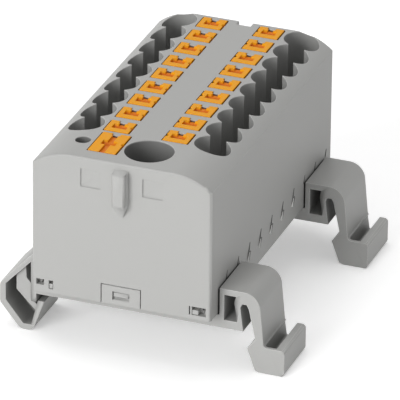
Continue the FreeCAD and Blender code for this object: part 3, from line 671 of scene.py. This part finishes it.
def renew_normals(piece, find_normals):
    """Gives each face the normals that find_normals has for it, and leaves it alone at None."""
    mesh = piece.data
    normals = [Vector(corner.vector) for corner in mesh.corner_normals]
    changed = 0
    for face in mesh.polygons:
        exact = find_normals(face, [mesh.vertices[index].co for index in face.vertices])
        if exact:
            changed += 1
            for loop, normal in zip(face.loop_indices, exact):
                normals[loop] = normal
    mesh.normals_split_custom_set(normals)
    return changed


def true_normals(piece):
    """Gives the top, the walls and the round holes of the housing the normals of their form."""
    changed = renew_normals(piece, form_normals)
    print(changed, "of", len(piece.data.polygons), "faces have the normals of their form")


print(len(round_holes), "round holes")

# %% [markdown]
# ## What the feet have beside their plain form
#
# Each foot is a thin-walled moulding. In its claw stands a rib that runs along the outer wall, so the claw
# can't fold. At the other end, behind a thin front wall, the sprung hook's lip has a valley in which a
# screwdriver finds hold, and a narrow gap parts the foot's box from the side of the housing. All three have
# one profile along Y, so a short polygon, pushed along Y, is enough. A Boolean modifier then joins the rib
# and cuts the valley and the gap. The profiles' corners are in millimetres, in X and Z.

# %% Rib, valley and gap
RIB = [(-21.0, 2.6), (-21.0, -0.1), (-17.9, -3.2), (-17.3, -2.6), (-18.7, -1.2), (-18.7, 1.3),
       (-19.4, 2.1), (-19.5, 4.2)]
VALLEY = [(18.60, -2.0), (18.95, -4.3), (19.4, -4.6), (20.65, -2.0)]
RIB_INSET = 0.6 * MM
VALLEY_WALL = 0.55 * MM
PAST_END = 0.6 * MM


def prism(name, profile_mm, start, end):
    """A closed prism with a profile in X and Z, from start to end along Y."""
    form = bmesh.new()
    rings = [[form.verts.new((x * MM, y, z * MM)) for x, z in profile_mm] for y in (start, end)]
    near_ring, far_ring = rings
    form.faces.new(near_ring)
    form.faces.new(far_ring)
    for number in range(len(profile_mm)):
        before = number - 1
        form.faces.new([near_ring[before], near_ring[number], far_ring[number], far_ring[before]])
    bmesh.ops.recalc_face_normals(form, faces=form.faces)
    mesh = bpy.data.meshes.new(name)
    form.to_mesh(mesh)
    form.free()
    piece = bpy.data.objects.new(name, mesh)
    bpy.context.scene.collection.objects.link(piece)
    return piece


def upright_box(name, limits_mm, start, end):
    """A box with its left, right, low and high limits given, from start to end along Y."""
    left, right, low, high = limits_mm
    return prism(name, [(left, low), (right, low), (right, high), (left, high)], start, end)


def carve(piece, tool, operation):
    """Joins a tool to the piece or cuts it out, for good, and removes the tool."""
    step = piece.modifiers.new(operation.lower(), "BOOLEAN")
    step.operation = operation
    step.solver = "EXACT"
    step.object = tool
    apply_modifiers(piece)
    bpy.data.objects.remove(tool)


def shape_foot(piece):
    """Adds the claw's rib, the valley behind the lip's front wall and the gap beside the housing."""
    front = min(corner.co.y for corner in piece.data.vertices)
    back = max(corner.co.y for corner in piece.data.vertices)
    carve(piece, prism("rib", RIB, front + RIB_INSET, back - RIB_INSET), "UNION")
    carve(piece, prism("valley", VALLEY, front + VALLEY_WALL, back + PAST_END), "DIFFERENCE")
    carve(piece, upright_box("side_gap", SIDE_GAP, front - PAST_END, back + PAST_END), "DIFFERENCE")


print(len(RIB), "corners on the rib,", len(VALLEY), "on the valley")

# %% [markdown]
# ## Bars in the corner windows
#
# The housing's two slots low in the front corners hold the nubs of the cover. On the real thing a slim bar
# parts each slot into two windows, and the nub shows in only one of them. The bars are short boxes joined
# to the housing, and the same way of cutting trims the nubs. Each box is written as its left, right, low
# and high limit in millimetres.

# %% Bars and trimmed nubs
BARS = [(-15.10, -14.35, 2.90, 4.40), (-16.40, -15.05, 2.90, 3.40), (8.15, 8.40, 2.90, 4.40)]
NUB_CUTS = [(-15.70, -14.30, 2.80, 4.50), (7.90, 8.45, 2.80, 4.50), (9.40, 9.90, 2.80, 4.50)]
BAR_DEPTH = 0.98 * MM
CUT_STARTS = front_face - MM


def add_bars(piece):
    """Joins the bars of the corner windows to the housing."""
    for limits in BARS:
        carve(piece, upright_box("bar", limits, front_face, front_face + BAR_DEPTH), "UNION")


def trim_nubs(piece):
    """Cuts the cover's corner nubs away where the bars are."""
    for limits in NUB_CUTS:
        carve(piece, upright_box("nub_cut", limits, CUT_STARTS, front_face + BAR_DEPTH), "DIFFERENCE")


print(len(BARS), "bars,", len(NUB_CUTS), "cuts")

# %% [markdown]
# ## Housing, cover, feet and bar
#
# Each of these is one moulding or one stamping, so each gets one material all over. The housing and its
# cover come from the same grey plastic. The feet are a tougher grade, slightly darker and glossier. A piece
# that needs a form or normals of its own names the functions that give it these.

# %% Dress every solid that keeps its own place
body_of = {node: body for body, members in frame["record"]["behaviour"]["bodies"].items()
           for node in members}


def dress(node, material, shape=None, mend_normals=None):
    """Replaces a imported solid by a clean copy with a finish, which rides on the same body."""
    piece = merged_copy(nodes[node], f"dressed_{node}")
    if shape:
        shape(piece)
    smooth(piece)
    settle(piece, material)
    if mend_normals:
        mend_normals(piece)
    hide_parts(node)
    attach(piece, body_of[node])
    return piece


large_pieces = [
    dress("housing", housing_grey, add_bars, true_normals),
    dress("base_cover", cover_grey, trim_nubs),
    dress("din_foot_front", foot_grey, shape_foot),
    dress("din_foot_rear", foot_grey, shape_foot),
    dress("current_bar", tinned_copper),
]
for piece in large_pieces:
    print(piece.name, len(piece.data.polygons), "faces")

# %% [markdown]
# ## Buttons
#
# All nineteen buttons have the same finish. Each rides on its own body, so that it can be pressed alone. A
# button needs play in its shaft, which shows as a dark line on its left and right, so the flanks of each
# copy are drawn in a little. Its flat faces keep their own normals, because averaged ones would look like
# dents.

# %% Buttons
FLANK_PLAY = 0.12 * MM
FLANK_DEPTH = 3 * MM
CROWN_DEPTH = 0.1 * MM
SQUARE_ON = 0.999


def draw_in_flanks(piece):
    """Moves the left and right flank of a button's crown inwards."""
    corners = [vertex.co for vertex in piece.data.vertices]
    top = max(corner.z for corner in corners)
    crown = [corner.x for corner in corners if corner.z > top - CROWN_DEPTH]
    for limit, step in ((min(crown), FLANK_PLAY), (max(crown), -FLANK_PLAY)):
        for corner in corners:
            if abs(corner.x - limit) < NEAR and corner.z > top - FLANK_DEPTH:
                corner.x += step


def square_normals(face, corners):
    """A face's own normal at each corner if the face lies square to an axis, or None."""
    if max(abs(part) for part in face.normal) > SQUARE_ON:
        return [face.normal.copy()] * len(corners)
    return None


def flat_normals(piece):
    """Gives every face that lies square to an axis its own normal."""
    renew_normals(piece, square_normals)


buttons = [dress(node, button_orange, draw_in_flanks, flat_normals)
           for node in button_nodes]
print(len(buttons), "buttons dressed")

# %% [markdown]
# ## Clamp springs that repeat
#
# Every terminal has the same folded strip of steel: an upright leg that stands on the bar, one round bend
# under the button, and a sloping leg that presses on the wire. A strip that follows a path is what Geometry
# Nodes are good at. Three points make the path, Fillet Curve rounds its corner, and Curve to Mesh sweeps a
# small rectangle along it. One tree serves all the springs, since its inputs hold what differs.

# %% Helpers for geometry trees
def add_node(tree, kind, settings=None, sockets=None):
    """Adds a node, sets its options, then gives its sockets a value or another node's output."""
    node = tree.nodes.new(kind)
    for name, value in (settings or {}).items():
        setattr(node, name, value)
    for name, value in (sockets or {}).items():
        if isinstance(value, bpy.types.NodeSocket):
            tree.links.new(value, node.inputs[name])
        else:
            node.inputs[name].default_value = value
    return node


def new_tree(name, inputs):
    """A geometry tree with named inputs, given as a name and a socket type each."""
    tree = bpy.data.node_groups.new(name, "GeometryNodeTree")
    for label, kind in inputs.items():
        tree.interface.new_socket(label, in_out="INPUT", socket_type=f"NodeSocket{kind}")
    tree.interface.new_socket("Geometry", in_out="OUTPUT", socket_type="NodeSocketGeometry")
    return tree, tree.nodes.new("NodeGroupInput").outputs


def end_tree(tree, geometry, material):
    """Realizes what the tree made, gives it its material and sends it out."""
    real = add_node(tree, "GeometryNodeRealizeInstances", {}, {"Geometry": geometry})
    sockets = {"Geometry": real.outputs[0], "Material": material}
    painted = add_node(tree, "GeometryNodeSetMaterial", {}, sockets)
    add_node(tree, "NodeGroupOutput", {}, {"Geometry": painted.outputs[0]})


def grow(name, tree, values, material):
    """Runs a tree with the given inputs and returns the result as an object with a plain mesh."""
    piece = bpy.data.objects.new(name, bpy.data.meshes.new(name))
    bpy.context.scene.collection.objects.link(piece)
    modifier = piece.modifiers.new(tree.name, "NODES")
    modifier.node_group = tree
    keys = {item.name: item.identifier for item in tree.interface.items_tree if item.in_out == "INPUT"}
    for label, value in values.items():
        modifier[keys[label]] = value
    return settle(piece, material)


print("trees can be built and run")


# %% The spring's tree
BEND_POINTS = 14


def build_spring_tree():
    """The tree that sweeps a strip along the path from a foot over a rounded corner to a tip."""
    tree, given = new_tree("clamp_spring", {"Foot": "Vector", "Corner": "Vector", "Tip": "Vector",
                                            "Bend": "Float", "Thickness": "Float", "Width": "Float"})
    line = add_node(tree, "GeometryNodeMeshLine", {"count_mode": "TOTAL"}, {"Count": 3})
    index = add_node(tree, "GeometryNodeInputIndex")
    choice = add_node(tree, "GeometryNodeIndexSwitch", {"data_type": "VECTOR"})
    choice.index_switch_items.new()
    for slot_number, label in enumerate(("Foot", "Corner", "Tip"), start=1):
        tree.links.new(given[label], choice.inputs[slot_number])
    tree.links.new(index.outputs[0], choice.inputs[0])
    placed = add_node(tree, "GeometryNodeSetPosition", {}, {"Geometry": line.outputs[0],
                                                             "Position": choice.outputs[0]})
    path = add_node(tree, "GeometryNodeMeshToCurve", {}, {"Mesh": placed.outputs[0]})
    bent = add_node(tree, "GeometryNodeFilletCurve", {"mode": "POLY"},
                    {"Curve": path.outputs[0], "Radius": given["Bend"], "Count": BEND_POINTS})
    strip = add_node(tree, "GeometryNodeCurvePrimitiveQuadrilateral", {},
                     {"Width": given["Thickness"], "Height": given["Width"]})
    swept = add_node(tree, "GeometryNodeCurveToMesh", {}, {"Curve": bent.outputs[0],
                                                            "Profile Curve": strip.outputs[0],
                                                            "Fill Caps": True})
    end_tree(tree, swept.outputs[0], spring_steel)
    return tree


spring_tree = build_spring_tree()
print(spring_tree.name, len(spring_tree.nodes), "nodes")

# %% Springs
SPRING_THICKNESS = 0.35 * MM
SPRING_BEND = 1.3 * MM
SPRING_SLOPE = math.radians(35)


def add_spring(node):
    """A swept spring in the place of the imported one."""
    low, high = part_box(node)
    outward = -1 if "left" in node else 1
    half = SPRING_THICKNESS / 2
    anchor = (low.x + half) if outward > 0 else (high.x - half)
    reach = high.x if outward > 0 else low.x
    middle = (low.y + high.y) / 2
    level = high.z - half - SPRING_BEND
    leave_x = SPRING_BEND * (1 + math.sin(SPRING_SLOPE))
    leave_z = SPRING_BEND * math.cos(SPRING_SLOPE)
    corner = Vector((anchor, middle, level + leave_z + leave_x * math.tan(SPRING_SLOPE)))
    reach -= half * math.sin(SPRING_SLOPE) * outward
    tip = Vector((reach, middle, corner.z - abs(reach - anchor) * math.tan(SPRING_SLOPE)))
    piece = grow(f"swept_{node}", spring_tree, {
        "Foot": (anchor, middle, low.z), "Corner": corner, "Tip": tip, "Bend": SPRING_BEND,
        "Thickness": SPRING_THICKNESS, "Width": high.y - low.y}, spring_steel)
    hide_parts(node)
    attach(piece, "block")
    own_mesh(piece)
    return piece


springs = [add_spring(node) for node in sorted(nodes) if node.startswith("clamp_spring")]
print(len(springs), "springs,", len(springs[0].data.polygons), "faces each")

# %% [markdown]
# ## Floor and light
#
# The floor is a plain pale sheet under the lowest point. For what looks at it, the camera and reflections,
# a little light of its own lifts it to white, and it still shows the part's shadow. A big soft lamp in
# front lights the infeed face, a weaker one from above the top, and the world fills the rest, so the side
# away from the lamps stays readable. The camera sees the world as plain white, and so do reflections.

# %% Floor
FLOOR_WHITE = (0.92, 0.92, 0.92)
FLOOR_LIFT = 0.32
FLOOR_HALF = 4


def background_rays(tree):
    """A socket with 1 for camera, reflected and refracted rays, and 0 for diffuse light."""
    paths = tree.nodes.new("ShaderNodeLightPath")
    seen = paths.outputs["Is Camera Ray"]
    for ray in ("Is Glossy Ray", "Is Transmission Ray"):
        either = tree.nodes.new("ShaderNodeMath")
        either.operation = "MAXIMUM"
        tree.links.new(seen, either.inputs[0])
        tree.links.new(paths.outputs[ray], either.inputs[1])
        seen = either.outputs[0]
    return seen


def add_floor(level, half_size):
    mesh = bpy.data.meshes.new("floor")
    corners = [(-half_size, -half_size, level), (half_size, -half_size, level),
               (half_size, half_size, level), (-half_size, half_size, level)]
    mesh.from_pydata(corners, [], [(0, 1, 2, 3)])
    floor = bpy.data.objects.new("floor", mesh)
    bpy.context.scene.collection.objects.link(floor)
    recipe = Recipe("floor_white", FLOOR_WHITE, Roughness=0.8, Emission_Strength=1.0)
    lift = Wire(recipe, background_rays(recipe.tree)) * FLOOR_LIFT
    glow = recipe.add("ShaderNodeCombineXYZ", {}, {0: lift, 1: lift, 2: lift})
    mesh.materials.append(recipe.finish(Emission_Color=glow))
    return floor


floor = add_floor(cad_box[0][2], FLOOR_HALF)
print("floor at", floor.data.vertices[0].co.z)


# %% Lamps
LIT_POINT = Vector((0, 0, 0.01))


def add_lamp(name, position, size, energy):
    """A square soft lamp that faces the part."""
    lamp = bpy.data.lights.new(name, "AREA")
    lamp.size = size
    lamp.energy = energy
    holder = bpy.data.objects.new(name, lamp)
    holder.location = position
    holder.rotation_euler = (LIT_POINT - Vector(position)).to_track_quat("-Z", "Y").to_euler()
    bpy.context.scene.collection.objects.link(holder)


add_lamp("front_soft", (-0.40, -1.1, 0.40), size=0.7, energy=10.8)
add_lamp("top_soft", (-0.2, 0.2, 1.2), size=0.9, energy=4.8)
print("lamps placed")

# %% World and colours
FILL = 0.45
world = bpy.data.worlds.new("world")
bpy.context.scene.world = world
world.use_nodes = True
background = world.node_tree.nodes["Background"]
background.inputs["Color"].default_value = (1, 1, 1, 1)
strength = world.node_tree.nodes.new("ShaderNodeMapRange")
strength.inputs["To Min"].default_value = FILL
strength.inputs["To Max"].default_value = 1.0
world.node_tree.links.new(background_rays(world.node_tree), strength.inputs["Value"])
world.node_tree.links.new(strength.outputs["Result"], background.inputs["Strength"])
bpy.context.scene.view_settings.view_transform = "Standard"
print("world ready, fill", FILL)
